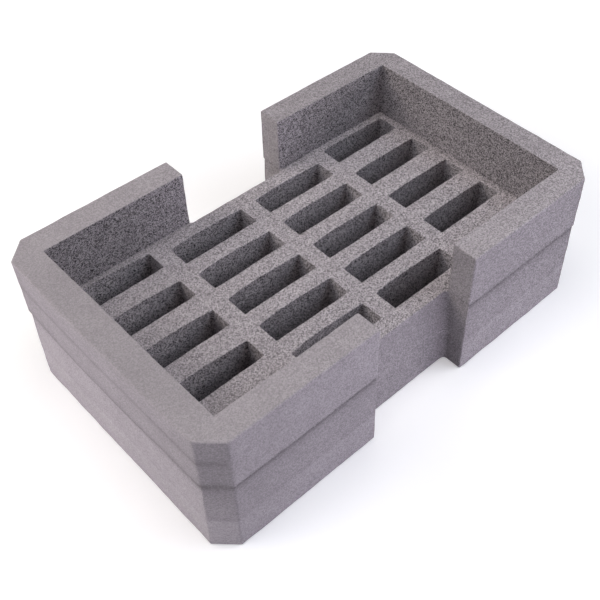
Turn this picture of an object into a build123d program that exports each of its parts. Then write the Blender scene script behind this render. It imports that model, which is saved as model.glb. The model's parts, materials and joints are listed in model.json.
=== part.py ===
from build123d import *
import os

# Laminated foam tray: a packing cushion for box-shaped goods that stand on edge in slots.
#
# A closed bottom plate and a slotted sheet make the base. A three-sided collar stands on each end of
# the base, and the two collars leave a gap in the middle, where a hand notch is cut into each long side.
#
# Frame: millimetres, +Z up, +X along the length, origin at the middle of the underside.

# Outside of the tray, which fits a carton
OVERALL_LENGTH = 570.0
OVERALL_WIDTH = 352.0
CORNER_CHAMFER = 23.0

# Foam layers, from the bottom up
PLATE_THICKNESS = 48.0
SHEET_THICKNESS = 61.5
COLLAR_HEIGHT = 74.5

# Glue between the layers, which stops short of every foam edge
GLUE_THICKNESS = 0.5
GLUE_SETBACK = 2.0

# Collar walls
WALL = 32.0

# Hand notches in the base: the back face leans outwards towards the underside
NOTCH_WIDTH = 142.0
NOTCH_DEPTH = 34.0
NOTCH_LEAN = 8.0
NOTCH_CORNER_RADIUS = 6.0

# One slot, and the least foam that is left around slots
SLOT_LENGTH = 105.0
SLOT_WIDTH = 29.5
LEDGE_AT_ENDS = 10.0
LEDGE_AT_SIDES = 10.25
FOAM_BEHIND_NOTCH = 21.25
LEAST_RIB_BETWEEN_COLUMNS = 15.0
LEAST_RIB_BETWEEN_ROWS = 20.0

# How far a cutter runs past the faces that it cuts through
OVERRUN = 5.0

# Heights of the faces that the layers share
PLATE_TOP = PLATE_THICKNESS
SHEET_BOTTOM = PLATE_TOP + GLUE_THICKNESS
SHEET_TOP = SHEET_BOTTOM + SHEET_THICKNESS
COLLAR_BOTTOM = SHEET_TOP + GLUE_THICKNESS
COLLAR_TOP = COLLAR_BOTTOM + COLLAR_HEIGHT

# Half sizes of the outside and of the well between the collar walls
HALF_LENGTH = OVERALL_LENGTH / 2
HALF_WIDTH = OVERALL_WIDTH / 2
WELL_HALF_LENGTH = HALF_LENGTH - WALL
WELL_HALF_WIDTH = HALF_WIDTH - WALL

# Room for slots along the length, across the end columns, and across the columns at the notches
ROOM_ALONG = 2 * (WELL_HALF_LENGTH - LEDGE_AT_ENDS)
ROOM_ACROSS_ENDS = 2 * (WELL_HALF_WIDTH - LEDGE_AT_SIDES)
ROOM_ACROSS_MIDDLE = min(ROOM_ACROSS_ENDS, 2 * (HALF_WIDTH - NOTCH_DEPTH - FOAM_BEHIND_NOTCH))

LEFT = -1
RIGHT = 1
FRONT = -1
BACK = 1


def block(x_range, y_range, z_range):
    """A box between two values on each axis."""
    ranges = (x_range, y_range, z_range)
    centre = [(low + high) / 2 for low, high in ranges]
    size = [high - low for low, high in ranges]
    return Pos(*centre) * Box(*size)


def outline(setback=0.0):
    """The rectangle with cut corners that every layer keeps to, brought in by setback."""
    rectangle = Rectangle(OVERALL_LENGTH - 2 * setback, OVERALL_WIDTH - 2 * setback)
    # Moving a 45 degree cut inwards by the setback shortens its legs by (2 - root 2) of the setback
    leg = CORNER_CHAMFER - (2 - 2**0.5) * setback
    return chamfer(rectangle.vertices(), length=leg)


def layer(sketch, low, high):
    """A flat outline as a sheet between two heights."""
    return extrude(Pos(0, 0, low) * sketch, amount=high - low)


def hand_notch(side, grow=0.0):
    """The cutter for one hand notch: a prism with a leaning inner face and rounded inner corners."""
    lean_per_height = NOTCH_LEAN / SHEET_TOP
    low, high = -OVERRUN, SHEET_TOP + OVERRUN
    inner_high = HALF_WIDTH - NOTCH_DEPTH - lean_per_height * OVERRUN - grow
    inner_low = inner_high + lean_per_height * (high - low)
    outer = HALF_WIDTH + OVERRUN
    corners = [(outer, low), (inner_low, low), (inner_high, high), (outer, high)]
    profile = Plane.YZ * make_face(Polyline(*corners, close=True))
    cutter = extrude(profile, amount=NOTCH_WIDTH / 2 + grow, both=True)
    inner_edges = [edge for edge in cutter.edges() if is_inner_upright(edge, inner_low)]
    cutter = fillet(inner_edges, radius=NOTCH_CORNER_RADIUS + grow)
    return cutter if side == BACK else mirror(cutter, about=Plane.XZ)


def is_inner_upright(edge, inner_limit):
    """True for the two edges where a notch's back face meets its ends."""
    extent = edge.bounding_box()
    stands = extent.size.X < 0.01 and extent.size.Z > 1.0
    return stands and extent.max.Y < inner_limit + 0.01


def spread(room, slot_size, least_rib):
    """The middles of as many slots as the room takes, evenly spread so that the outer ones end at it."""
    count = int((room + least_rib) // (slot_size + least_rib))
    pitch = (room - slot_size) / (count - 1)
    return [(index - (count - 1) / 2) * pitch for index in range(count)]


def slot_places():
    """(x, y) of the middle of every slot, column by column."""
    columns = spread(ROOM_ALONG, SLOT_LENGTH, LEAST_RIB_BETWEEN_COLUMNS)
    for x in columns:
        at_end = x in (columns[0], columns[-1])
        room_across = ROOM_ACROSS_ENDS if at_end else ROOM_ACROSS_MIDDLE
        for y in spread(room_across, SLOT_WIDTH, LEAST_RIB_BETWEEN_ROWS):
            yield x, y


def slots(low, high, grow=0.0):
    """The cutters for all slots between two heights."""
    plan = Rectangle(SLOT_LENGTH + 2 * grow, SLOT_WIDTH + 2 * grow)
    return [layer(Pos(x, y) * plan, low, high) for x, y in slot_places()]


def base_layer(low, high, setback=0.0):
    """A full-length layer with both hand notches taken out."""
    return layer(outline(setback), low, high) - hand_notch(FRONT, setback) - hand_notch(BACK, setback)


def collar(end, low, high, setback=0.0):
    """A three-sided ring over one end of the base, open towards the middle."""
    gap_face = NOTCH_WIDTH / 2 + setback
    keep = block((gap_face, HALF_LENGTH), (-HALF_WIDTH, HALF_WIDTH), (low, high))
    well_x, well_y = WELL_HALF_LENGTH + setback, WELL_HALF_WIDTH + setback
    well = block((-HALF_LENGTH, well_x), (-well_y, well_y), (low - OVERRUN, high + OVERRUN))
    ring = (layer(outline(setback), low, high) & keep) - well
    return ring if end == RIGHT else mirror(ring, about=Plane.YZ)


def bottom_plate():
    """The closed lower layer, which is the floor of every slot."""
    return base_layer(0.0, PLATE_TOP)


def base_glue_film():
    """Glue on the ribs only, so that it ends at every slot."""
    film = base_layer(PLATE_TOP, SHEET_BOTTOM, GLUE_SETBACK)
    return film - slots(PLATE_TOP - OVERRUN, SHEET_BOTTOM + OVERRUN, GLUE_SETBACK)


def slotted_sheet():
    """The upper layer of the base, cut right through by the slots."""
    return base_layer(SHEET_BOTTOM, SHEET_TOP) - slots(SHEET_BOTTOM - OVERRUN, SHEET_TOP + OVERRUN)


def pieces():
    """Every piece by its node name."""
    return {
        "bottom_plate": bottom_plate(),
        "base_glue_film": base_glue_film(),
        "slotted_sheet": slotted_sheet(),
        "left_collar_glue_film": collar(LEFT, SHEET_TOP, COLLAR_BOTTOM, GLUE_SETBACK),
        "right_collar_glue_film": collar(RIGHT, SHEET_TOP, COLLAR_BOTTOM, GLUE_SETBACK),
        "left_collar": collar(LEFT, COLLAR_BOTTOM, COLLAR_TOP),
        "right_collar": collar(RIGHT, COLLAR_BOTTOM, COLLAR_TOP),
    }


os.makedirs("parts", exist_ok=True)
for name, piece in pieces().items():
    export_step(piece, f"parts/{name}.step")
    print(name, round(piece.volume / 1000), "cm3")
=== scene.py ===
"""Looks of a slotted foam packing tray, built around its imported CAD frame.

Two laminated base layers with slots and hand notches carry two three-sided collars. Every foam layer
is rebuilt here as a knife-cut foam blank: soft, slightly uneven faces and edges, with cut cells on them.
"""

import json
import logging
import math
from dataclasses import dataclass
from enum import Enum
from typing import Any, Callable, Iterable

import bmesh
import bpy
import numpy as np
from mathutils import Matrix, Vector, noise


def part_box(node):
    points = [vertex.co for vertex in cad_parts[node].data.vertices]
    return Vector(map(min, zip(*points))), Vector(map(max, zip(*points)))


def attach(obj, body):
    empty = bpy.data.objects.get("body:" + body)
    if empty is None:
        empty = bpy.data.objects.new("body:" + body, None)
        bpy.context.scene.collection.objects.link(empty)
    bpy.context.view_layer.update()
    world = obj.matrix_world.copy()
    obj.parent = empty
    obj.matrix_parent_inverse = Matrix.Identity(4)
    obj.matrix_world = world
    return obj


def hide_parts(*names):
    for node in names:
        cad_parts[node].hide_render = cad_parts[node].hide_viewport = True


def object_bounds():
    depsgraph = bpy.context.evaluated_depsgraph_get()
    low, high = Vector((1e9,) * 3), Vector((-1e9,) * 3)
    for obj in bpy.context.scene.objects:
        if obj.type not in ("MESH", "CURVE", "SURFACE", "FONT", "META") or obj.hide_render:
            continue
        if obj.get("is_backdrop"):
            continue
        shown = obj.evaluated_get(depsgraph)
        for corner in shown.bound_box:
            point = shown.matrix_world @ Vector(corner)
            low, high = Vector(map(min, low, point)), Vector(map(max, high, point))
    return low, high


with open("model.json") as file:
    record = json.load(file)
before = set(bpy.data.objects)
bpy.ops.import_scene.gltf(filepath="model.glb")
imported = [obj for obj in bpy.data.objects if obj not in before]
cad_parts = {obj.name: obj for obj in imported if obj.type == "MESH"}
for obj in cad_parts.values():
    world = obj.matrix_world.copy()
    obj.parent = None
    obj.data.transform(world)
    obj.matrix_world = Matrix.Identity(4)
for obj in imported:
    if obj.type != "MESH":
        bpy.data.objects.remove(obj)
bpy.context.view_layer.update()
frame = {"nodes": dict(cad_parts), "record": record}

log = logging.getLogger("foam_tray")

MM = 0.001
BODY = "root"

# How far a unit normal has to lean towards a side for its face to count as facing that way.
FACES_UP = 0.7
FACES_END = 0.7
FACES_DIAGONAL = 0.5
LIES_FLAT = 0.9
LEANS_SIDEWAYS = 0.3


# ---------------------------------------------------------------- small helpers


def linear(hex_colour: str) -> tuple[float, float, float, float]:
    """Turn an sRGB hex colour into linear RGBA.

    Args:
        hex_colour: Six hex digits with a leading #.

    Returns:
        Red, green, blue and alpha, from 0 to 1.
    """
    parts = [int(hex_colour[i : i + 2], 16) / 255 for i in (1, 3, 5)]
    low = [c / 12.92 if c <= 0.04045 else ((c + 0.055) / 1.055) ** 2.4 for c in parts]
    return (*low, 1.0)


def per_metre(millimetres: float) -> float:
    """Give the texture scale at which one feature is that many millimetres across."""
    return 1.0 / (millimetres * MM)


def smooth(value: float, low: float, high: float) -> float:
    """Rise softly from 0 at low to 1 at high."""
    t = min(1.0, max(0.0, (value - low) / (high - low)))
    return t * t * (3 - 2 * t)


def fading(distance: float, reach: float) -> float:
    """Fall from 1 at no distance to about a third at the reach."""
    return math.exp(-distance / reach)


def subdivided(marks: Iterable[float], step: float) -> list[float]:
    """Fill the gaps between marks so that no gap is wider than step.

    Args:
        marks: The places that must have a line.
        step: The widest gap allowed.

    Returns:
        All lines in rising order.
    """
    kept = sorted(set(round(m, 6) for m in marks))
    lines = kept[:1]
    for low, high in zip(kept, kept[1:]):
        count = max(1, math.ceil((high - low) / step - 1e-6))
        lines += [low + (high - low) * i / count for i in range(1, count + 1)]
    return lines


def add_node(
    tree: bpy.types.NodeTree, kind: str, links: dict | None = None, **settings: Any
) -> bpy.types.Node:
    """Add one shader node.

    Args:
        tree: The node tree that gets it.
        kind: The node's type name.
        links: Input name or number to the output socket that feeds it, or to a plain value.
        **settings: Attributes of the node.

    Returns:
        The new node.
    """
    made = tree.nodes.new(kind)
    for name, value in settings.items():
        setattr(made, name, value)
    for name, source in (links or {}).items():
        if isinstance(source, bpy.types.NodeSocket):
            tree.links.new(source, made.inputs[name])
        else:
            made.inputs[name].default_value = source
    return made


def bare_material(name: str) -> tuple[bpy.types.Material, bpy.types.NodeTree]:
    """Make a material that has no nodes yet.

    Args:
        name: The material's name.

    Returns:
        The material and its empty node tree.
    """
    made = bpy.data.materials.new(name)
    made.use_nodes = True
    made.node_tree.nodes.clear()
    return made, made.node_tree


# ---------------------------------------------------------------- finishes


@dataclass(frozen=True)
class FoamFinish:
    """Grey closed-cell polyethylene foam, cut to shape with a blade.

    The cut opens the cells, so the face is dull and speckled with pale cell walls and dark hollows.
    Where the blade ran smoothly the cells close up again, and the speckle fades. Such foam has cells from
    half a millimetre to two millimetres across; one size stands for them all, as fine as still shows.
    """

    name: str
    body_colour: str = "#9b9598"
    tone: float = 1.0
    cell_mm: float = 1.1
    cells_in_clump: float = 1.9
    clump_share: float = 0.3
    patch_mm: float = 38.0
    patch_swing: float = 0.07
    contrast: float = 2.3
    # How far the painted shade darkens the foam at its fullest.
    painted_shade_depth: float = 0.5
    relief: float = 0.7
    relief_mm: float = 0.7
    roughness: float = 0.95
    specular: float = 0.15
    ior: float = 1.5

    def material(self) -> bpy.types.Material:
        """Build the foam's material.

        Returns:
            The new material.
        """
        made, tree = bare_material(self.name)
        place = add_node(tree, "ShaderNodeTexCoord").outputs["Object"]
        grain = self.grain(tree, place)
        relief = add_node(
            tree, "ShaderNodeBump",
            {"Height": grain, "Strength": self.relief, "Distance": self.relief_mm * MM},
        )
        body = tuple(c * self.tone for c in linear(self.body_colour)[:3])
        colour = add_node(
            tree, "ShaderNodeVectorMath", {0: body, "Scale": self.shade(tree, place, grain)},
            operation="SCALE",
        )
        shader = add_node(
            tree, "ShaderNodeBsdfPrincipled",
            {"Base Color": colour.outputs["Vector"], "Roughness": self.roughness, "IOR": self.ior,
             "Specular IOR Level": self.specular, "Normal": relief.outputs["Normal"]},
        )
        add_node(tree, "ShaderNodeOutputMaterial", {"Surface": shader.outputs["BSDF"]})
        return made

    def grain(self, tree: bpy.types.NodeTree, place: bpy.types.NodeSocket) -> bpy.types.NodeSocket:
        """Make the speckle of cut cells: each cell catches or loses the light by chance.

        Args:
            tree: The material's nodes.
            place: The object coordinates.

        Returns:
            A value around 0.5.
        """
        cells = add_node(
            tree, "ShaderNodeTexVoronoi",
            {"Vector": place, "Scale": per_metre(self.cell_mm), "Randomness": 1.0},
            feature="F1", voronoi_dimensions="3D",
        )
        chance = add_node(tree, "ShaderNodeSeparateColor", {"Color": cells.outputs["Color"]})
        clumps = add_node(
            tree, "ShaderNodeTexNoise",
            {"Vector": place, "Scale": per_metre(self.cell_mm * self.cells_in_clump),
             "Detail": 2.0, "Roughness": 0.6},
        )
        mixed = add_node(
            tree, "ShaderNodeMix",
            {"Factor": self.clump_share, 2: chance.outputs["Red"], 3: clumps.outputs["Fac"]},
            data_type="FLOAT",
        )
        return mixed.outputs[0]

    def shade(
        self, tree: bpy.types.NodeTree, place: bpy.types.NodeSocket, grain: bpy.types.NodeSocket
    ) -> bpy.types.NodeSocket:
        """Turn the speckle, the painted light and shade with the dents' marks, and slow patches into a
        brightness around 1.

        Args:
            tree: The material's nodes.
            place: The object coordinates.
            grain: The speckle.

        Returns:
            The brightness.
        """
        opened = add_node(tree, "ShaderNodeAttribute", attribute_name="open_cells")
        # This attribute holds painted shade above 0, painted light below 0, and the dents' real dark or pale
        # marks.
        shade_and_marks = add_node(tree, "ShaderNodeAttribute", attribute_name="grime")
        after_painted_shade = add_node(
            tree, "ShaderNodeMath", {0: shade_and_marks.outputs["Fac"], 1: -self.painted_shade_depth, 2: 1.0},
            operation="MULTIPLY_ADD",
        )
        swing = add_node(
            tree, "ShaderNodeMath", {0: opened.outputs["Fac"], 1: self.contrast}, operation="MULTIPLY",
        )
        centred = add_node(tree, "ShaderNodeMath", {0: grain, 1: 0.5}, operation="SUBTRACT")
        speckle = add_node(
            tree, "ShaderNodeMath", {0: centred.outputs[0], 1: swing.outputs[0], 2: 1.0},
            operation="MULTIPLY_ADD",
        )
        patches = add_node(
            tree, "ShaderNodeTexNoise",
            {"Vector": place, "Scale": per_metre(self.patch_mm), "Detail": 4.0, "Roughness": 0.62},
        )
        cloud = add_node(
            tree, "ShaderNodeMapRange",
            {"Value": patches.outputs["Fac"], "From Min": 0.25, "From Max": 0.75,
             "To Min": 1.0 - self.patch_swing, "To Max": 1.0 + self.patch_swing},
        )
        mottled = add_node(
            tree, "ShaderNodeMath", {0: speckle.outputs[0], 1: cloud.outputs["Result"]},
            operation="MULTIPLY",
        )
        return add_node(
            tree, "ShaderNodeMath", {0: mottled.outputs[0], 1: after_painted_shade.outputs[0]}, operation="MULTIPLY",
        ).outputs[0]


@dataclass(frozen=True)
class GlueFinish:
    """Hot-melt glue, set in a thin film: dark, with a dull shine and a slightly lumpy skin."""

    name: str = "hot_melt_glue"
    colour: str = "#3a373b"
    dark_colour: str = "#2a282b"
    lump_mm: float = 6.0
    lump_height_mm: float = 0.3
    relief: float = 0.4
    roughness: float = 0.6

    def material(self) -> bpy.types.Material:
        """Build the glue's material.

        Returns:
            The new material.
        """
        made, tree = bare_material(self.name)
        place = add_node(tree, "ShaderNodeTexCoord").outputs["Object"]
        lumps = add_node(
            tree, "ShaderNodeTexNoise", {"Vector": place, "Scale": per_metre(self.lump_mm), "Detail": 2.0},
        )
        tint = add_node(tree, "ShaderNodeValToRGB", {"Fac": lumps.outputs["Fac"]})
        tint.color_ramp.elements[0].color = linear(self.dark_colour)
        tint.color_ramp.elements[1].color = linear(self.colour)
        bump = add_node(
            tree, "ShaderNodeBump",
            {"Height": lumps.outputs["Fac"], "Strength": self.relief, "Distance": self.lump_height_mm * MM},
        )
        shader = add_node(
            tree, "ShaderNodeBsdfPrincipled",
            {"Base Color": tint.outputs["Color"], "Roughness": self.roughness,
             "Normal": bump.outputs["Normal"]},
        )
        add_node(tree, "ShaderNodeOutputMaterial", {"Surface": shader.outputs["BSDF"]})
        return made


# ---------------------------------------------------------------- the tray's plan, read from the frame


@dataclass(frozen=True)
class Rect:
    """A plan rectangle."""

    x0: float
    x1: float
    y0: float
    y1: float

    def holds(self, x: float, y: float) -> bool:
        """Say whether a point lies inside."""
        return self.x0 < x < self.x1 and self.y0 < y < self.y1

    def grown(self, margin: float) -> "Rect":
        """Give the rectangle moved out by margin on every side."""
        return Rect(self.x0 - margin, self.x1 + margin, self.y0 - margin, self.y1 + margin)


class TrayPlan:
    """The plan sizes of the tray, read from the CAD nodes and the record's openings."""

    OPENING_CLEARANCE = 1.0 * MM
    NOTCH_CORNER_RADIUS = 6.0 * MM
    TOLERANCE = 1.0 * MM

    def __init__(self) -> None:
        """Read the outline, slots, well and notches."""
        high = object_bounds()[1]
        self.half_length, self.half_width = high.x, high.y
        openings = {o["name"]: o["box_m"] for o in frame["record"]["physics"]["openings"]}
        self.slots = [self._plan_of(box) for name, box in openings.items() if name.startswith("slot_")]
        self.well = self._plan_of(openings["tray_well"])
        self.notch_half_width = self._plan_of(openings["back_hand_notch"]).x1
        self.base_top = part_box("slotted_sheet")[1].z
        self.notch_face = self._notch_face_at("slotted_sheet", self.base_top)
        self.notch_lean = self._notch_face_at("bottom_plate", 0.0) - self.notch_face
        self.foam_behind_notch = self.notch_face - max(
            slot.y1 for slot in self.slots if slot.x0 < self.notch_half_width < slot.x1
        )
        self.chamfer = self._corner_cut("bottom_plate")

    def _plan_of(self, box: list[list[float]]) -> Rect:
        """Give the foam's edge round an opening, whose box keeps a little clear of it."""
        low, high = box
        return Rect(low[0], high[0], low[1], high[1]).grown(self.OPENING_CLEARANCE)

    def _vertices(self, node: str) -> np.ndarray:
        """Give a CAD node's points.

        Args:
            node: The node's name.

        Returns:
            One row of x, y and z per point.
        """
        points = np.zeros(len(frame["nodes"][node].data.vertices) * 3, np.float32)
        frame["nodes"][node].data.vertices.foreach_get("co", points)
        return points.reshape(-1, 3).astype(float)

    def _notch_face_at(self, node: str, height: float) -> float:
        """Find where the back notch's inner face is.

        Args:
            node: The layer to look at.
            height: The height to look at, which has to be one of the layer's two faces.

        Returns:
            The face's distance from the tray's middle line.
        """
        p = self._vertices(node)
        at_height = np.abs(p[:, 2] - height) < 0.2 * MM
        in_notch = np.abs(p[:, 0]) < self.notch_half_width - 5 * MM
        return float(p[at_height & in_notch, 1].max())

    def _corner_cut(self, node: str) -> float:
        """Find how much of the length a corner cut takes.

        Args:
            node: The layer to look at.

        Returns:
            The cut's leg.
        """
        p = self._vertices(node)
        at_end = p[:, 0] > self.half_length - 0.05 * MM
        return self.half_width - float(p[at_end, 1].max())

    def along(self, x: float) -> float:
        """Give 0 at the tray's left end and 1 at its right end."""
        return (x + self.half_length) / (2 * self.half_length)

    def past_corner_cut(self, x: float, y: float) -> float:
        """Give how far a point is past the diagonal corner cut; below 0 it is inside."""
        return abs(x) + abs(y) - (self.half_length + self.half_width - self.chamfer)

    def is_outer(self, p: Vector) -> bool:
        """Say whether a point lies on the outside of the tray, notches and corner cuts included.

        Args:
            p: The point.

        Returns:
            True on the outside, False on the floor, in the well and in the slots.
        """
        x, y = abs(p.x), abs(p.y)
        at_side = x > self.half_length - self.TOLERANCE or y > self.half_width - self.TOLERANCE
        at_corner = self.past_corner_cut(x, y) > -self.TOLERANCE
        in_notch = x < self.notch_half_width + self.TOLERANCE and y > self.notch_face - self.TOLERANCE
        return at_side or at_corner or in_notch


# ---------------------------------------------------------------- how foam is cut and bent, and where light and shade are painted on it


@dataclass(frozen=True)
class Unevenness:
    """How far a knife-cut foam face strays from true, at three sizes of ripple."""

    bow_mm: float = 0.9
    bow_length_mm: float = 150.0
    ripple_mm: float = 0.45
    ripple_length_mm: float = 24.0
    grain_mm: float = 0.3
    grain_length_mm: float = 9.0

    def along_normal(self, p: Vector) -> float:
        """Give how far a point stands out.

        Args:
            p: The point.

        Returns:
            The shift along the face's normal.
        """
        big = self.bow_mm * noise.noise(p * per_metre(self.bow_length_mm))
        middle = self.ripple_mm * noise.noise(p * per_metre(self.ripple_length_mm))
        small = self.grain_mm * noise.noise(p * per_metre(self.grain_length_mm))
        return (big + middle + small) * MM


@dataclass(frozen=True)
class Dent:
    """A small round dent, nick or scuff in whatever face is near."""

    place_mm: tuple[float, float, float]
    radius_mm: float
    depth_mm: float
    dust: float = 0.0

    def nearness(self, p: Vector) -> float:
        """Give 1 in the middle of the dent and 0 outside it."""
        away = (p - Vector(self.place_mm) * MM).length / (self.radius_mm * MM)
        return max(0.0, 1.0 - away * away) ** 2

    def press(self, p: Vector) -> float:
        """Give how far a point is pressed in, in metres."""
        return self.depth_mm * MM * self.nearness(p)


@dataclass(frozen=True)
class OpenCells:
    """How torn open the cut cells are: 0 is closed and smooth, 1 is wide open.

    On upper and outer faces they are more open towards the tray's right end.
    """

    upper: float = 0.18
    upper_rise: float = 0.42
    outer: float = 0.24
    outer_rise: float = 0.32
    inner: float = 1.1

    def on_upper(self, along: float) -> float:
        """Give the openness of an upper face, so far along the tray."""
        return self.upper + self.upper_rise * along

    def on_outer(self, along: float) -> float:
        """Give the openness of an outer side, so far along the tray."""
        return self.outer + self.outer_rise * along


@dataclass(frozen=True)
class PaintedSideShade:
    """How much painted shade lies on each outer side against the blank's own tone; below 0 is painted light.

    The values stand in for how the light falls on each side.
    """

    left: float = 0.0
    front: float = 0.0
    left_front_corner: float = 0.0
    notch: float = 0.0
    back_notch_end: float = -0.55

    def towards(self, p: Vector, normal: Vector, in_notch: bool) -> float:
        """Give the painted shade or light on the side that faces this way.

        Args:
            p: The point.
            normal: The way the face looks.
            in_notch: Whether the point lies in a hand notch.

        Returns:
            The shade.
        """
        if in_notch and p.y > 0 and normal.x < -FACES_DIAGONAL:
            return self.back_notch_end
        if in_notch:
            return self.notch * (1.0 - abs(normal.z))
        if normal.x < -FACES_DIAGONAL and normal.y < -FACES_DIAGONAL:
            return self.left_front_corner
        return self.left * max(0.0, -normal.x) ** 3 + self.front * max(0.0, -normal.y) ** 3


@dataclass(frozen=True)
class JointLineAndShadow:
    """The joint under a collar: a thin line, partly dark glue and partly painted shade, over a softer band
    of painted shadow.
    """

    line: float
    band: float
    band_mm: float = 12.0
    line_mm: float = 4.6

    def at(self, below: float) -> float:
        """Give the share of the joint's dark line and painted shadow so far under the joint."""
        return self.line * fading(below, self.line_mm * MM) + self.band * fading(below, self.band_mm * MM)


@dataclass(frozen=True)
class LeftEndSag:
    """How the collar's joint hangs down at the tray's left end.

    The left collar is cut thicker at its outer edge there, and the sheet under it gives way.
    """

    plan: TrayPlan
    depth_mm: float = 7.6
    inner_edge: float = 22 * MM
    outer_edge: float = 4 * MM
    deepest_y: float = 20 * MM
    rise_reach: float = 10 * MM
    full_depth_share: float = 1.6

    def at(self, p: Vector) -> float:
        """Give how far the joint is down at a point.

        Args:
            p: The point.

        Returns:
            The sag in metres.
        """
        end = self.plan.half_length
        near_end = smooth(-p.x, end - self.inner_edge, end - self.outer_edge)
        along = max(0.0, 1.0 - abs(p.y - self.deepest_y) / (self.plan.half_width + self.rise_reach))
        return self.depth_mm * MM * near_end * min(1.0, self.full_depth_share * along)


class EdgeKind(Enum):
    """Where an edge of a blank lies."""

    UPPER = "upper"
    UNDER = "under"
    UPRIGHT = "upright"


@dataclass(frozen=True)
class EdgeRadii:
    """How far a blank's edges are rounded, in millimetres."""

    upper: float
    under: float
    upright: float
    inner: float
    inner_upright: float = 1.8

    def of(self, kind: EdgeKind, is_outer: bool) -> float:
        """Give the radius for one kind of edge.

        Args:
            kind: Where the edge lies.
            is_outer: Whether it is on the tray's outside.

        Returns:
            The radius.
        """
        if not is_outer:
            return self.inner_upright if kind is EdgeKind.UPRIGHT else self.inner
        return {EdgeKind.UPPER: self.upper, EdgeKind.UNDER: self.under, EdgeKind.UPRIGHT: self.upright}[kind]


# ---------------------------------------------------------------- foam blanks


class FoamMesher:
    """Builds a closed foam blank from a plan on a grid of lines.

    The plan's cells are foam or air. Foam cells become the top and bottom faces, and the edges between
    foam and air become upright walls, cut into levels so that the faces can be uneven.
    """

    def __init__(
        self, xs: list[float], ys: list[float],
        is_foam: Callable[[float, float], bool], past_cut: Callable[[float, float], float],
    ) -> None:
        """Keep the grid lines and the tests for foam.

        Args:
            xs: Grid lines along the length.
            ys: Grid lines across.
            is_foam: Says whether the plan has foam at a point.
            past_cut: Negative inside the outline's diagonal cuts and positive past them; zero runs
                through grid points.
        """
        self.xs, self.ys, self.is_foam, self.past_cut = xs, ys, is_foam, past_cut

    def plan_faces(self) -> list[list[tuple[int, int]]]:
        """List the plan's faces as grid points, counter-clockwise.

        Returns:
            Squares, and triangles along a diagonal cut.
        """
        faces = []
        for i, (x0, x1) in enumerate(zip(self.xs, self.xs[1:])):
            for j, (y0, y1) in enumerate(zip(self.ys, self.ys[1:])):
                if not self.is_foam((x0 + x1) / 2, (y0 + y1) / 2):
                    continue
                ring = [(i, j), (i + 1, j), (i + 1, j + 1), (i, j + 1)]
                kept = [p for p in ring if self.past_cut(self.xs[p[0]], self.ys[p[1]]) < 1e-7]
                if len(kept) >= 3:
                    faces.append(kept)
        return faces

    def solid(self, name: str, levels: list[float]) -> bpy.types.Object:
        """Build the blank between the lowest and highest level.

        Args:
            name: The object's name.
            levels: Rising heights, one ring of wall points at each.

        Returns:
            The new mesh object, linked to the scene.
        """
        faces = self.plan_faces()
        points = sorted({p for face in faces for p in face})
        index = {p: k for k, p in enumerate(points)}
        count = len(points)
        rings = [[index[p] for p in face] for face in faces]
        # A dict keeps the edges in the order of the faces, which a set would not.
        edges = dict.fromkeys(edge for ring in rings for edge in zip(ring, ring[1:] + ring[:1]))
        rim = [(a, b) for a, b in edges if (b, a) not in edges]
        on_rim = sorted({a for edge in rim for a in edge})
        at = [(self.xs[i], self.ys[j]) for i, j in points]
        vertices = [(x, y, levels[0]) for x, y in at] + [(x, y, levels[-1]) for x, y in at]
        ring_at = [{a: a for a in on_rim}]
        for z in levels[1:-1]:
            ring_at.append({a: len(vertices) + k for k, a in enumerate(on_rim)})
            vertices += [(*at[a], z) for a in on_rim]
        ring_at.append({a: a + count for a in on_rim})
        polygons = [ring[::-1] for ring in rings]
        polygons += [[a + count for a in ring] for ring in rings]
        for low, high in zip(ring_at, ring_at[1:]):
            polygons += [[low[a], low[b], high[b], high[a]] for a, b in rim]
        mesh = bpy.data.meshes.new(name)
        mesh.from_pydata(vertices, [], polygons)
        mesh.validate()
        made = bpy.data.objects.new(name, mesh)
        bpy.context.scene.collection.objects.link(made)
        return made


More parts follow.
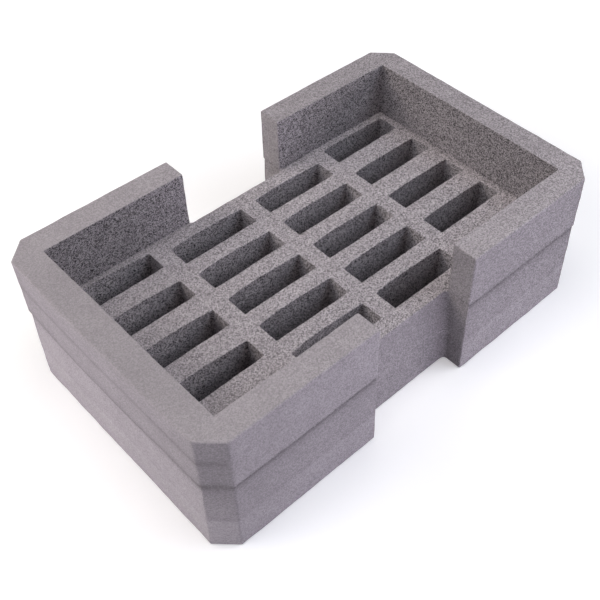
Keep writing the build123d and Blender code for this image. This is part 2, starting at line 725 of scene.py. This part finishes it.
@dataclass
class FoamPiece:
    plan: TrayPlan
    node: str
    slot: str
    finish: FoamFinish
    radii: EdgeRadii
    drop: float = 0.0
    recess_mm: tuple[float, float] = (0.0, 0.0)
    cells: OpenCells = OpenCells()
    painted_side_shade: PaintedSideShade = PaintedSideShade()
    unevenness: Unevenness = Unevenness()
    upper_face_share: float = 0.35
    dents: tuple[Dent, ...] = ()
    step: float = 4.5 * MM
    corner_steps: int = 6
    flattest_rounded_degrees: float = 35.0

    def __post_init__(self) -> None:
        """Note the heights of the layer's underside and upper side."""
        low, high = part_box(self.node)
        self.low, self.high = low.z, high.z

    def lines(self) -> tuple[list[float], list[float]]:
        """Give the grid lines that the plan has to have.

        Returns:
            The outline's and corner cuts' lines along the length and across.
        """
        p = self.plan
        inner_x, inner_y = p.half_length - p.chamfer, p.half_width - p.chamfer
        xs = [s * v for s in (-1, 1) for v in (p.half_length, inner_x, p.notch_half_width)]
        ys = [s * v for s in (-1, 1) for v in (p.half_width, inner_y)]
        return xs, ys

    def with_corner_steps(self, lines: list[float], end: float) -> list[float]:
        """Cut the stretch under each corner cut into the same number of equal steps.

        Args:
            lines: Grid lines of one direction.
            end: How far the outline reaches in that direction.

        Returns:
            The lines, with the corners' own ones at both ends.
        """
        size = self.plan.chamfer
        inner = [v for v in lines if abs(v) < end - size + 1e-7]
        marks = range(1, self.corner_steps + 1)
        steps = [s * (end - size + size * k / self.corner_steps) for s in (-1, 1) for k in marks]
        return sorted(inner + steps)

    def is_foam(self, x: float, y: float) -> bool:
        """Say whether the plan has foam at a point."""
        return True

    def reshape(self, mesh: bpy.types.Mesh) -> None:
        """Move points that the grid can't place, before the edges are rounded."""

    def warp(self, p: Vector) -> Vector:
        """Give the shift of a point where the whole layer is bent or cut out of true."""
        return Vector()

    def recess(self, p: Vector) -> float:
        """Give how far the outside is cut back at a point, in metres."""
        below, above = self.recess_mm
        return (below + (above - below) * smooth(p.z, self.low, self.high)) * MM

    def build(self) -> bpy.types.Object:
        """Returns:
            The finished object.
        """
        xs, ys = self.lines()
        xs = self.with_corner_steps(subdivided(xs, self.step), self.plan.half_length)
        ys = self.with_corner_steps(subdivided(ys, self.step), self.plan.half_width)
        bottom = self.low - self.drop
        levels = subdivided([bottom, self.high], self.step)
        made = FoamMesher(xs, ys, self.is_foam, self.plan.past_corner_cut).solid(f"{self.node}_foam", levels)
        self.reshape(made.data)
        self.round_edges(made, (bottom + self.high) / 2)
        self.grade(made.data)
        self.roughen(made.data)
        made.data.polygons.foreach_set("use_smooth", [True] * len(made.data.polygons))
        made.modifiers.new("even_normals", "WEIGHTED_NORMAL").keep_sharp = True
        made.data.materials.clear()
        made.data.materials.append(self.finish.material())
        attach(made, BODY)
        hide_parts(self.node)
        log.info("%s: %d faces", made.name, len(made.data.polygons))
        return made

    def edge_radius(self, kind: EdgeKind, middle: Vector) -> float:
        """Give the radius in millimetres for an edge of this kind, by where its middle is."""
        return self.radii.of(kind, self.plan.is_outer(middle))

    def round_edges(self, made: bpy.types.Object, half_way: float) -> None:
        """Round every sharp edge by the radius of its kind.

        Args:
            made: The blank.
            half_way: The height that parts its upper edges from its lower ones.
        """
        widest = 2.5
        flattest = math.radians(self.flattest_rounded_degrees)
        mesh = made.data
        soft = bmesh.new()
        soft.from_mesh(mesh)
        weights = soft.edges.layers.float.new("bevel_weight_edge")
        for edge in soft.edges:
            if not edge.is_manifold or edge.calc_face_angle() < flattest:
                continue
            middle = (edge.verts[0].co + edge.verts[1].co) / 2
            kind = EdgeKind.UPRIGHT
            if abs(edge.verts[0].co.z - edge.verts[1].co.z) < 1e-6:
                kind = EdgeKind.UPPER if middle.z > half_way else EdgeKind.UNDER
            radius = self.edge_radius(kind, middle)
            edge[weights] = radius / widest
            edge.smooth = radius > 0.0
        soft.to_mesh(mesh)
        soft.free()
        bevel = made.modifiers.new("soft_edges", "BEVEL")
        bevel.limit_method, bevel.width, bevel.segments = "WEIGHT", widest * MM, 2
        bevel.use_clamp_overlap = True
        bevel.loop_slide = False
        rounded = made.evaluated_get(bpy.context.evaluated_depsgraph_get())
        baked = bpy.data.meshes.new_from_object(rounded)
        made.modifiers.clear()
        made.data = baked
        bpy.data.meshes.remove(mesh)

    def roughen(self, mesh: bpy.types.Mesh) -> None:
        """Shift points in and out so that faces and edges look knife-cut; the underside stays flat.

        Args:
            mesh: The blank.
        """
        points, normals = self.arrays(mesh)
        moved = []
        for place, facing in zip(points.tolist(), normals.tolist()):
            p, normal = Vector(place), Vector(facing)
            lies_flat = abs(normal.z) > LIES_FLAT
            is_outer = self.plan.is_outer(p)
            share = self.upper_face_share if lies_flat else 1.0
            if lies_flat and normal.z < 0:
                share = 0.0
            sideways = Vector((normal.x, normal.y, 0.0))
            if is_outer and sideways.length > LEANS_SIDEWAYS:
                normal = sideways.normalized()
                share = 1.0
            shift = self.unevenness.along_normal(p) * share - sum(dent.press(p) for dent in self.dents)
            if is_outer and not lies_flat:
                shift -= self.recess(p)
            moved += list(p + normal * shift + self.warp(p))
        mesh.vertices.foreach_set("co", moved)
        mesh.update()

    @staticmethod
    def arrays(mesh: bpy.types.Mesh) -> tuple[np.ndarray, np.ndarray]:
        """Give the mesh's points and their normals.

        Args:
            mesh: The mesh to read.

        Returns:
            Two arrays with one row of x, y and z per point.
        """
        points = np.zeros(len(mesh.vertices) * 3, np.float32)
        normals = np.zeros_like(points)
        mesh.vertices.foreach_get("co", points)
        mesh.vertex_normals.foreach_get("vector", normals)
        return points.reshape(-1, 3), normals.reshape(-1, 3)

    def openness(self, p: Vector, normal: Vector) -> float:
        """Say how torn open the cells are at a point.

        Args:
            p: The point.
            normal: The way the face looks there.

        Returns:
            The share of open cells.
        """
        along = self.plan.along(p.x)
        if normal.z > FACES_UP:
            return self.cells.on_upper(along)
        return self.cells.on_outer(along) if self.plan.is_outer(p) else self.cells.inner

    def grime(self, p: Vector, normal: Vector) -> float:
        """Say how much painted shade darkens a point: 1 is darkest, and below 0 is painted light that makes
        it paler.

        Args:
            p: The point.
            normal: The way the face looks there.

        Returns:
            The share of painted shade; below 0 is painted light.
        """
        if not self.plan.is_outer(p) or normal.z > FACES_UP:
            return 0.0
        plan = self.plan
        in_notch = abs(p.x) < plan.notch_half_width + MM and abs(p.y) < plan.half_width - 2 * MM
        return self.painted_side_shade.towards(p, normal, in_notch)

    def grade(self, mesh: bpy.types.Mesh) -> None:
        """Write how open the cells are, and the painted light and shade with the dents' marks, to the
        points, for the finish to read.

        Args:
            mesh: The blank.
        """
        points, normals = self.arrays(mesh)
        pairs = [(Vector(p), Vector(n)) for p, n in zip(points.tolist(), normals.tolist())]
        opened = [self.openness(p, n) for p, n in pairs]
        worn = [sum(dent.dust * dent.nearness(p) for dent in self.dents) for p, _ in pairs]
        shade_and_marks = [min(1.0, self.grime(p, n) + w) for (p, n), w in zip(pairs, worn)]
        mesh.attributes.new("open_cells", "FLOAT", "POINT").data.foreach_set("value", opened)
        mesh.attributes.new("grime", "FLOAT", "POINT").data.foreach_set("value", shade_and_marks)


# ---------------------------------------------------------------- base


@dataclass
class BaseLayer(FoamPiece):
    """A full-length layer of the base, with both hand notches."""

    lean_fade: float = 20 * MM
    # Painted shade in the notches' inner corners:
    corner_painted_shade: float = 0.85
    corner_reach: float = 9 * MM

    def lines(self) -> tuple[list[float], list[float]]:
        """Add the notches and their rounded inner corners to the outline's lines.

        Returns:
            The lines along the length and across.
        """
        xs, ys = super().lines()
        face, radius = self.plan.notch_face, self.plan.NOTCH_CORNER_RADIUS
        quarter_way = math.radians(22.5)
        near_x = self.plan.notch_half_width - radius
        near_y = face + radius
        for side in (-1, 1):
            xs += [side * near_x, side * (near_x + radius * math.sin(quarter_way))]
            ys += [side * face, side * near_y, side * (near_y - radius * math.sin(quarter_way))]
        return xs, ys

    def is_foam(self, x: float, y: float) -> bool:
        """Leave the two hand notches out."""
        return not (abs(x) < self.plan.notch_half_width and abs(y) > self.plan.notch_face)

    def reshape(self, mesh: bpy.types.Mesh) -> None:
        """Round the notches' inner corners and lean their back faces.

        Args:
            mesh: The blank.
        """
        p = self.plan
        face, radius = p.notch_face, p.NOTCH_CORNER_RADIUS
        centre_x, centre_y = p.notch_half_width - radius, face + radius
        for vertex in mesh.vertices:
            x, y = abs(vertex.co.x), abs(vertex.co.y)
            on_face = abs(y - face) < 1e-6 and centre_x < x < p.notch_half_width + 1e-6
            on_end = abs(x - p.notch_half_width) < 1e-6 and face - 1e-6 < y < centre_y
            if on_face and on_end:
                x, y = centre_x + radius * math.sqrt(0.5), centre_y - radius * math.sqrt(0.5)
            elif on_face:
                y = centre_y - math.sqrt(max(0.0, radius**2 - (x - centre_x) ** 2))
            elif on_end:
                x = centre_x + math.sqrt(max(0.0, radius**2 - (centre_y - y) ** 2))
            y += self.lean(x, y, vertex.co.z)
            vertex.co = (math.copysign(x, vertex.co.x), math.copysign(y, vertex.co.y), vertex.co.z)

    def lean(self, x: float, y: float, z: float) -> float:
        """Give how far a point near a notch moves outwards below the top of the base.

        Args:
            x: Distance from the middle along the length.
            y: Distance from the middle across.
            z: Height.

        Returns:
            The outward shift.
        """
        p = self.plan
        start = p.notch_face - p.foam_behind_notch
        if not start < y < p.half_width:
            return 0.0
        tent = (p.half_width - y) / (p.half_width - p.notch_face)
        if y < p.notch_face:
            tent = (y - start) / (p.notch_face - start)
        fade = max(0.0, 1.0 - max(0.0, x - p.notch_half_width) / self.lean_fade)
        return p.notch_lean * (1.0 - z / p.base_top) * tent * fade

    def grime(self, p: Vector, normal: Vector) -> float:
        """Paint shade in the notches' inner corners.

        Args:
            p: The point.
            normal: The way the face looks there.

        Returns:
            The share of painted shade; below 0 is painted light.
        """
        if not self.plan.is_outer(p) or normal.z > FACES_UP:
            return 0.0
        corner = Vector((self.plan.notch_half_width, self.plan.notch_face))
        away = (Vector((abs(p.x), abs(p.y))) - corner).length
        return super().grime(p, normal) + self.corner_painted_shade * fading(away, self.corner_reach)


@dataclass
class BottomPlate(BaseLayer):
    """The closed lower layer."""

    # Painted shade on the upper face where it shows at the bottom of the slots.
    slot_floor_painted_shade: float = 0.6

    def grime(self, p: Vector, normal: Vector) -> float:
        """Paint shade on the glued upper face where it shows at the bottom of the slots."""
        is_glued = normal.z > FACES_UP and not self.plan.is_outer(p)
        return self.slot_floor_painted_shade if is_glued else super().grime(p, normal)


@dataclass
class SlottedSheet(BaseLayer):
    """The upper layer of the base, cut through by the slots."""

    notch_edge_mm: float = 1.2
    flare_mm: float = 2.3
    flare_lost_mm_per_metre: float = 6.0
    flare_reach: float = 11 * MM
    flare_height: float = 26 * MM
    collar_fade: float = 12 * MM
    recess_height: float = 32 * MM
    sag_height: float = 20 * MM
    # Painted light and shade on the floor and in the slots, as shares of the foam's tone; below 0 is paler.
    floor_shade: float = 0.03
    floor_paler_right: float = 0.21
    wall_foot_painted_shade: float = 0.35
    wall_foot_reach: float = 7 * MM
    slot_mouth_shade: float = -0.05
    slot_right_end_shade: float = -0.15
    slot_depth_painted_shade: float = 0.95
    slot_unshaded_depth: float = 2 * MM
    slot_dark_depth: float = 60 * MM
    # The joints under the collars: a thin line, partly dark glue and partly painted shade, over a band of
    # painted shadow.
    long_joint: JointLineAndShadow = JointLineAndShadow(line=0.8, band=0.36)
    left_joint: JointLineAndShadow = JointLineAndShadow(line=1.6, band=0.1)
    corner_joint: JointLineAndShadow = JointLineAndShadow(line=0.4, band=0.75, band_mm=18.0)

    def lines(self) -> tuple[list[float], list[float]]:
        """Add the slots' edges.

        Returns:
            The lines along the length and across.
        """
        xs, ys = super().lines()
        for slot in self.plan.slots:
            xs += [slot.x0, slot.x1]
            ys += [slot.y0, slot.y1]
        return xs, ys

    def is_foam(self, x: float, y: float) -> bool:
        """Leave the slots out too."""
        return super().is_foam(x, y) and not any(slot.holds(x, y) for slot in self.plan.slots)

    def under_collar(self, p: Vector) -> float:
        """Give 0 along a notch, rising to 1 where a collar stands on the sheet."""
        end = self.plan.notch_half_width
        return smooth(abs(p.x), end - self.collar_fade, end)

    def edge_radius(self, kind: EdgeKind, middle: Vector) -> float:
        """Round the notches' upper edges less than those under the collars.

        Args:
            kind: Where the edge lies.
            middle: The middle of the edge.

        Returns:
            The radius in millimetres.
        """
        if kind is EdgeKind.UPPER and self.plan.is_outer(middle):
            return self.notch_edge_mm + (self.radii.upper - self.notch_edge_mm) * self.under_collar(middle)
        return super().edge_radius(kind, middle)

    def reshape(self, mesh: bpy.types.Mesh) -> None:
        """Flare the back of each slot near its top, where the blade pulled the foam.

        Args:
            mesh: The blank.
        """
        super().reshape(mesh)
        for vertex in mesh.vertices:
            p = vertex.co.copy()
            high = smooth(p.z, self.high - self.flare_height, self.high)
            if high == 0.0:
                continue
            depth = (self.flare_mm - self.flare_lost_mm_per_metre * p.x) * MM
            for slot in self.plan.slots:
                behind = p.y - slot.y1
                if -1e-5 < behind < self.flare_reach and slot.x0 < p.x < slot.x1:
                    share = (p.x - slot.x0) / (slot.x1 - slot.x0)
                    bow = math.sin(math.pi * share**0.7) * (1.0 - behind / self.flare_reach)
                    vertex.co.y += depth * bow * high

    def grime(self, p: Vector, normal: Vector) -> float:
        """Paint shade on the joint under the collars, at the foot of the well's walls and down the slots,
        and paint light and shade on the floor and on the slots' walls.

        Args:
            p: The point.
            normal: The way the face looks there.

        Returns:
            The share of painted shade; below 0 is painted light.
        """
        below = self.plan.base_top - p.z
        covered = abs(p.x) > self.plan.notch_half_width + MM
        if normal.z > FACES_UP:
            return self.painted_floor_shade(p, covered)
        if self.plan.is_outer(p):
            return (self.joint_line_and_shadow(below, normal) if covered else 0.0) + super().grime(p, normal)
        end_wall = self.slot_right_end_shade if normal.x < -FACES_END else 0.0
        depth = smooth(below, self.slot_unshaded_depth, self.slot_dark_depth)
        return end_wall + self.slot_mouth_shade + self.slot_depth_painted_shade * depth

    def painted_floor_shade(self, p: Vector, between_walls: bool) -> float:
        """Paint shade on the floor along the foot of the well's walls, and paint the whole floor paler
        towards the right end.

        Args:
            p: The point.
            between_walls: Whether a collar stands in front of and behind the point.

        Returns:
            The share of painted shade; below 0 is painted light.
        """
        well = self.plan.well
        foot = min(p.x - well.x0, well.x1 - p.x)
        if between_walls:
            foot = min(foot, p.y - well.y0, well.y1 - p.y)
        tone = self.floor_shade - self.floor_paler_right * self.plan.along(p.x)
        return tone + self.wall_foot_painted_shade * fading(max(0.0, foot), self.wall_foot_reach)

    def joint_line_and_shadow(self, below: float, normal: Vector) -> float:
        """Say how dark the joint under a collar is: a line, partly dark glue and partly painted shade, over
        a band of painted shadow.

        Args:
            below: How far the point lies under the joint.
            normal: The way the face looks.

        Returns:
            The share of the dark line and painted shadow.
        """
        if normal.x < -FACES_DIAGONAL:
            joint = self.corner_joint if normal.y < -FACES_DIAGONAL else self.left_joint
            return joint.at(below)
        return self.long_joint.at(below)

    def recess(self, p: Vector) -> float:
        """Cut the outside back just under the collars."""
        share = self.under_collar(p) * smooth(p.z, self.high - self.recess_height, self.high)
        return (self.recess_mm[0] + (self.recess_mm[1] - self.recess_mm[0]) * share) * MM

    def warp(self, p: Vector) -> Vector:
        """Let the outer joint sag at the left end."""
        sag = LeftEndSag(self.plan).at(p) * smooth(p.z, self.high - self.sag_height, self.high)
        return Vector((0.0, 0.0, -sag))


# ---------------------------------------------------------------- collars


@dataclass
class Collar(FoamPiece):
    """A three-sided ring on one end of the base; end is -1 for the left one and 1 for the right one."""

    end: int = 1
    # Painted light and shade: on the rim by where it lies, on the well's walls, in their corners and at
    # their foot, and along the outer joint.
    rim_shade: float = 0.09
    front_rim_paler: float = 0.2
    back_rim_paler: float = 0.0
    rim_fade_inside: float = 40 * MM
    rim_fade_outside: float = 10 * MM
    lower_edge_painted_shade: float = 0.7
    wall_shade: float = 0.05
    right_wall_shade: float = 0.1
    wall_corner_painted_shade: float = 0.35
    wall_corner_reach: float = 10 * MM
    wall_foot_painted_shade: float = 0.2
    wall_foot_reach: float = 9 * MM
    inner_foot_radius_mm: float = 0.1
    corner_foot_radius_mm: float = 0.9
    press_mm: float = 0.15
    press_inside_mm: float = 0.4

    def lines(self) -> tuple[list[float], list[float]]:
        """Add the well's faces and keep to one end.

        Returns:
            The lines along the length and across.
        """
        xs, ys = super().lines()
        p = self.plan
        xs = [v for v in xs + [p.well.x0, p.well.x1] if v * self.end > p.notch_half_width - 1e-6]
        return xs, ys + [p.well.y0, p.well.y1]

    def with_corner_steps(self, lines: list[float], end: float) -> list[float]:
        """Keep only the corner steps of this collar's end of the tray.

        Args:
            lines: Grid lines of one direction.
            end: How far the outline reaches in that direction.

        Returns:
            The lines, with the corners' own ones.
        """
        stepped = super().with_corner_steps(lines, end)
        if end == self.plan.half_length:
            return [v for v in stepped if v * self.end > 0]
        return stepped

    def is_foam(self, x: float, y: float) -> bool:
        """Leave the well out."""
        return not self.plan.well.holds(x, y)

    def edge_radius(self, kind: EdgeKind, middle: Vector) -> float:
        """Keep the lower edges sharp inside, where the collar stands on the floor, and at the corner cuts.

        Args:
            kind: Where the edge lies.
            middle: The middle of the edge.

        Returns:
            The radius in millimetres.
        """
        if kind is EdgeKind.UNDER and not self.plan.is_outer(middle):
            return self.inner_foot_radius_mm
        if kind is EdgeKind.UNDER and self.plan.past_corner_cut(middle.x, middle.y) > -MM:
            return self.corner_foot_radius_mm
        return super().edge_radius(kind, middle)

    def grime(self, p: Vector, normal: Vector) -> float:
        """Paint light and shade on the rim, and paint shade along the lower outer edge and on the well's
        walls, corners and foot.

        Args:
            p: The point.
            normal: The way the face looks there.

        Returns:
            The share of painted shade; below 0 is painted light.
        """
        well = self.plan.well
        if normal.z > FACES_UP:
            start, full = well.y1 - self.rim_fade_inside, well.y1 + self.rim_fade_outside
            to_front, to_back = smooth(-p.y, start, full), smooth(p.y, start, full)
            return self.rim_shade - self.front_rim_paler * to_front - self.back_rim_paler * to_back
        above = p.z - self.low
        if self.plan.is_outer(p):
            return super().grime(p, normal) + self.outer_painted_shade(p, normal)
        away = (Vector((abs(p.x), abs(p.y))) - Vector((well.x1, well.y1))).length
        wall = self.right_wall_shade if normal.x < -FACES_END else self.wall_shade
        corner = self.wall_corner_painted_shade * fading(away, self.wall_corner_reach)
        return wall + corner + self.wall_foot_painted_shade * fading(above, self.wall_foot_reach)

    def outer_painted_shade(self, p: Vector, normal: Vector) -> float:
        """Paint shade along the lower edge of the outer sides, at the joint."""
        return self.lower_edge_painted_shade * (1.0 - smooth(p.z - self.low, 0.5 * MM, 3.0 * MM))

    def warp(self, p: Vector) -> Vector:
        """Press the underside down a little, and more towards the well, so that the joint closes.

        Args:
            p: The point.

        Returns:
            The shift.
        """
        well = self.plan.well
        inside = max(well.x0 - p.x, p.x - well.x1, well.y0 - p.y, p.y - well.y1)
        at_underside = 1.0 - smooth(p.z, self.low, self.low + MM)
        press = self.press_mm + self.press_inside_mm * smooth(-inside, -20 * MM, -2 * MM)
        return Vector((0.0, 0.0, -press * at_underside * MM))


@dataclass
class LeftCollar(Collar):
    """The left collar, whose end bulges under a lip and sags at its joint."""

    end: int = -1
    crease_below_top: float = 35 * MM
    crease_half_height: float = 4.5 * MM
    # Painted shade in the crease under the lip and along the edge at the sagging joint:
    crease_painted_shade: float = 0.42
    joint_edge_painted_shade: float = 1.1
    joint_edge_reach: float = 3.5 * MM
    bulge_mm: float = 1.3
    upper_bulge_mm: float = 0.2
    lip_mm: float = 1.2
    lip_half_height: float = 4 * MM
    bulge_reach: float = 30 * MM
    widest_y: float = 10 * MM
    sag_height: float = 25 * MM

    def outer_painted_shade(self, p: Vector, normal: Vector) -> float:
        """Paint shade in the crease under the lip and along the edge at the sagging joint.

        Args:
            p: The point.
            normal: The way the face looks there.

        Returns:
            The share of painted shade.
        """
        if normal.x >= -FACES_END:
            return super().outer_painted_shade(p, normal)
        crease = (p.z - self.high + self.crease_below_top) / self.crease_half_height
        edge = self.joint_edge_painted_shade * fading(p.z - self.low, self.joint_edge_reach)
        return edge + self.crease_painted_shade * math.exp(-crease * crease)

    def warp(self, p: Vector) -> Vector:
        """Bulge the end's upper part and let its outer joint sag.

        Args:
            p: The point.

        Returns:
            The shift.
        """
        plan = self.plan
        near_end = smooth(-p.x, plan.half_length - self.bulge_reach, plan.half_length)
        along = max(0.0, 1.0 - ((p.y - self.widest_y) / plan.half_width) ** 2)
        high = smooth(p.z, self.low + 20 * MM, self.high - 22 * MM)
        crease = self.high - self.crease_below_top
        lip = smooth(p.z, crease - self.lip_half_height, crease + self.lip_half_height)
        bulge = -self.bulge_mm - self.upper_bulge_mm * high - self.lip_mm * lip
        sag = LeftEndSag(plan).at(p) * (1.0 - smooth(p.z, self.low, self.low + self.sag_height))
        return super().warp(p) + Vector((bulge * MM * near_end * along, 0.0, -sag))


# ---------------------------------------------------------------- glue


@dataclass
class GlueFilms:
    """The films of glue between the layers, which keep their CAD shape."""

    nodes: tuple[str, ...] = ("base_glue_film", "left_collar_glue_film", "right_collar_glue_film")
    finish: GlueFinish = GlueFinish()

    def dress(self) -> None:
        """Give every film the glue's material."""
        glue = self.finish.material()
        for name in self.nodes:
            mesh = frame["nodes"][name].data
            mesh.materials.clear()
            mesh.materials.append(glue)
            log.info("%s: dressed as %s", name, glue.name)


# ---------------------------------------------------------------- studio


def looked_at(tree: bpy.types.NodeTree) -> bpy.types.NodeSocket:
    """Tell what is looked at or mirrored from what lights the tray.

    Args:
        tree: The node tree that asks.

    Returns:
        1 for what is looked at or mirrored, and 0 for light that falls on the tray.
    """
    rays = add_node(tree, "ShaderNodeLightPath")
    seen = add_node(
        tree, "ShaderNodeMath", {0: rays.outputs["Is Camera Ray"], 1: rays.outputs["Is Glossy Ray"]},
        operation="MAXIMUM",
    )
    return add_node(
        tree, "ShaderNodeMath", {0: seen.outputs["Value"], 1: rays.outputs["Is Transmission Ray"]},
        operation="MAXIMUM",
    ).outputs["Value"]


@dataclass(frozen=True)
class PaperFinish:
    """Matt white studio paper: it shows as white, keeps a soft shadow and throws little light back.

    It brightens away from the tray, so that it runs into the white room without a horizon.
    """

    name: str = "matt_white_paper"
    colour: str = "#f2f2f2"
    bounce_colour: str = "#bcbcbc"
    glow: float = 0.22
    glow_from: float = 0.5
    glow_to: float = 1.6

    def material(self) -> bpy.types.Material:
        """Build the paper's material.

        Returns:
            The new material.
        """
        made, tree = bare_material(self.name)
        paper = add_node(tree, "ShaderNodeBsdfDiffuse", {"Color": linear(self.bounce_colour)})
        bright = add_node(tree, "ShaderNodeBsdfDiffuse", {"Color": linear(self.colour)})
        place = add_node(tree, "ShaderNodeTexCoord").outputs["Object"]
        away = add_node(tree, "ShaderNodeVectorMath", {0: place}, operation="LENGTH").outputs["Value"]
        fade = add_node(
            tree, "ShaderNodeMapRange",
            {"Value": away, "From Min": self.glow_from, "From Max": self.glow_to,
             "To Min": self.glow, "To Max": 1.0},
        )
        glow = add_node(
            tree, "ShaderNodeEmission", {"Color": (1, 1, 1, 1), "Strength": fade.outputs["Result"]},
        )
        lifted = add_node(tree, "ShaderNodeAddShader", {0: bright.outputs[0], 1: glow.outputs[0]})
        mix = add_node(
            tree, "ShaderNodeMixShader", {0: looked_at(tree), 1: paper.outputs[0], 2: lifted.outputs[0]},
        )
        add_node(tree, "ShaderNodeOutputMaterial", {"Surface": mix.outputs[0]})
        return made


@dataclass(frozen=True)
class Lamp:
    """A square soft box that faces the tray.

    Its compass angle runs from the tray's front over its right end, in degrees.
    """

    name: str
    compass: float
    rise: float
    distance: float
    size: float
    watts: float
    colour: tuple[float, float, float]
    aimed_at: tuple[float, float, float] = (0.0, 0.0, 0.08)

    def hang(self) -> None:
        """Hang the lamp."""
        turn, rise = math.radians(self.compass), math.radians(self.rise)
        level = math.cos(rise)
        stand = Vector((level * math.sin(turn), -level * math.cos(turn), math.sin(rise))) * self.distance
        light = bpy.data.lights.new(self.name, "AREA")
        light.energy, light.size, light.color = self.watts, self.size, self.colour
        made = bpy.data.objects.new(self.name, light)
        made.location = stand
        made.rotation_euler = (Vector(self.aimed_at) - stand).to_track_quat("-Z", "Y").to_euler()
        bpy.context.scene.collection.objects.link(made)


@dataclass
class Studio:
    """A plain pale floor, soft light and the camera."""

    camera_from_centre: tuple[float, float, float] = (-0.5205, -0.5856, 0.8980)
    look_along: tuple[float, float, float] = (0.48688, 0.49296, -0.72107)
    roll_degrees: float = 1.128
    lens_mm: float = 57.306
    shift: tuple[float, float] = (-0.08265, -0.04647)
    paper: PaperFinish = PaperFinish()
    room_light: str = "#c8d8ff"
    room_strength: float = 0.06
    lamps: tuple[Lamp, ...] = (
        Lamp("top_box", 0, 88, 2.2, 1.2, 20.4, (1.0, 0.946, 0.92)),
        Lamp("back_left_box", 225, 40, 2.2, 1.2, 18.1, (1.0, 0.921, 0.82)),
        Lamp("left_box", 260, 37, 2.2, 1.2, 10.3, (0.92, 0.95, 1.0)),
        Lamp("front_right_box", 45, 50, 2.2, 1.2, 14.9, (0.79, 0.88, 1.0)),
        Lamp("right_low_box", 58, 15, 2.2, 1.0, 11.8, (1.0, 0.93, 0.95)),
        Lamp("front_box", 0, 12, 2.2, 1.0, 2.9, (0.95, 0.95, 1.0)),
        Lamp("front_reflector", 0, 3, 0.9, 0.3, 3.3, (0.87, 0.82, 1.0)),
        Lamp("left_reflector", 262, 3, 0.9, 0.3, 3.4, (0.97, 0.92, 1.0)),
    )

    def build(self) -> None:
        """Make the floor, the world, the lamps and the camera."""
        self.floor()
        self.world()
        for lamp in self.lamps:
            lamp.hang()
        self.camera()
        bpy.context.scene.view_settings.view_transform = "Standard"

    def floor(self) -> None:
        """Lay a wide sheet of paper just under the tray."""
        bpy.ops.mesh.primitive_plane_add(size=12.0, location=(0, 0, -0.6 * MM))
        floor = bpy.context.object
        floor.name = "floor"
        floor.data.materials.append(self.paper.material())
        floor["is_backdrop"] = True

    def world(self) -> None:
        """Show the room as white and light the tray a little from everywhere."""
        world = bpy.data.worlds.new("pale_room")
        bpy.context.scene.world = world
        world.use_nodes = True
        tree = world.node_tree
        tree.nodes.clear()
        room = add_node(
            tree, "ShaderNodeBackground", {"Color": linear(self.room_light), "Strength": self.room_strength},
        )
        white = add_node(tree, "ShaderNodeBackground", {"Color": (1, 1, 1, 1), "Strength": 1.0})
        mix = add_node(
            tree, "ShaderNodeMixShader", {0: looked_at(tree), 1: room.outputs[0], 2: white.outputs[0]},
        )
        add_node(tree, "ShaderNodeOutputWorld", {"Surface": mix.outputs[0]})

    def camera(self) -> None:
        """Stand the camera at the product view."""
        data = bpy.data.cameras.new("camera")
        data.sensor_fit, data.sensor_width, data.lens = "HORIZONTAL", 36.0, self.lens_mm
        data.shift_x, data.shift_y = self.shift
        made = bpy.data.objects.new("camera", data)
        bpy.context.scene.collection.objects.link(made)
        forward = Vector(self.look_along).normalized()
        right = forward.cross(Vector((0, 0, 1))).normalized()
        up = right.cross(forward)
        turn = Matrix((right, up, -forward)).transposed().to_4x4()
        turn = turn @ Matrix.Rotation(math.radians(self.roll_degrees), 4, "Z")
        made.matrix_world = Matrix.Translation(self.camera_from_centre) @ turn
        bpy.context.scene.camera = made


# ---------------------------------------------------------------- build


def main() -> None:
    """Build the layers in order, dress the glue and set the studio."""
    logging.basicConfig(level=logging.INFO, format="%(name)s %(message)s")
    plan = TrayPlan()
    BottomPlate(
        plan, "bottom_plate", "base_foam", FoamFinish("polyethylene_foam_lower_slab", tone=1.07),
        EdgeRadii(upper=0.0, under=1.2, upright=1.8, inner=0.0),
        recess_mm=(0.4, 0.5),
        # Painted light and shade on each outer side, as shares of the foam's tone:
        painted_side_shade=PaintedSideShade(left=-0.12, front=-0.07, left_front_corner=-0.36, notch=0.26),
    ).build()
    SlottedSheet(
        plan, "slotted_sheet", "base_foam", FoamFinish("polyethylene_foam_slotted_slab"),
        EdgeRadii(upper=2.2, under=0.0, upright=1.8, inner=0.7),
        drop=0.9 * MM, recess_mm=(0.42, 1.2),
        cells=OpenCells(upper=0.62, upper_rise=0.32),
        painted_side_shade=PaintedSideShade(left=-0.14, front=0.04, left_front_corner=-0.12, notch=0.04),
        dents=(
            Dent((-108.5, -31.5, 110.0), radius_mm=4.0, depth_mm=2.2, dust=0.5),
            Dent((178.0, -96.0, 110.0), radius_mm=4.0, depth_mm=1.6, dust=0.5),
        ),
    ).build()
    LeftCollar(
        plan, "left_collar", "collar_foam", FoamFinish("polyethylene_foam_fine_cells", tone=0.985),
        EdgeRadii(upper=1.8, under=1.9, upright=2.0, inner=0.9),
        painted_side_shade=PaintedSideShade(left=0.12, front=-0.12, left_front_corner=0.16),
        dents=(Dent((-250.0, -176.0, 161.0), radius_mm=11.0, depth_mm=0.0, dust=-0.25),),
        back_rim_paler=0.15,
    ).build()
    Collar(
        plan, "right_collar", "collar_foam", FoamFinish("polyethylene_foam_coarse_cells"),
        EdgeRadii(upper=1.4, under=1.9, upright=1.6, inner=0.9),
        painted_side_shade=PaintedSideShade(front=0.03),
        back_rim_paler=-0.05,
    ).build()
    GlueFilms().dress()
    Studio().build()


if __name__ == "__main__":
    main()
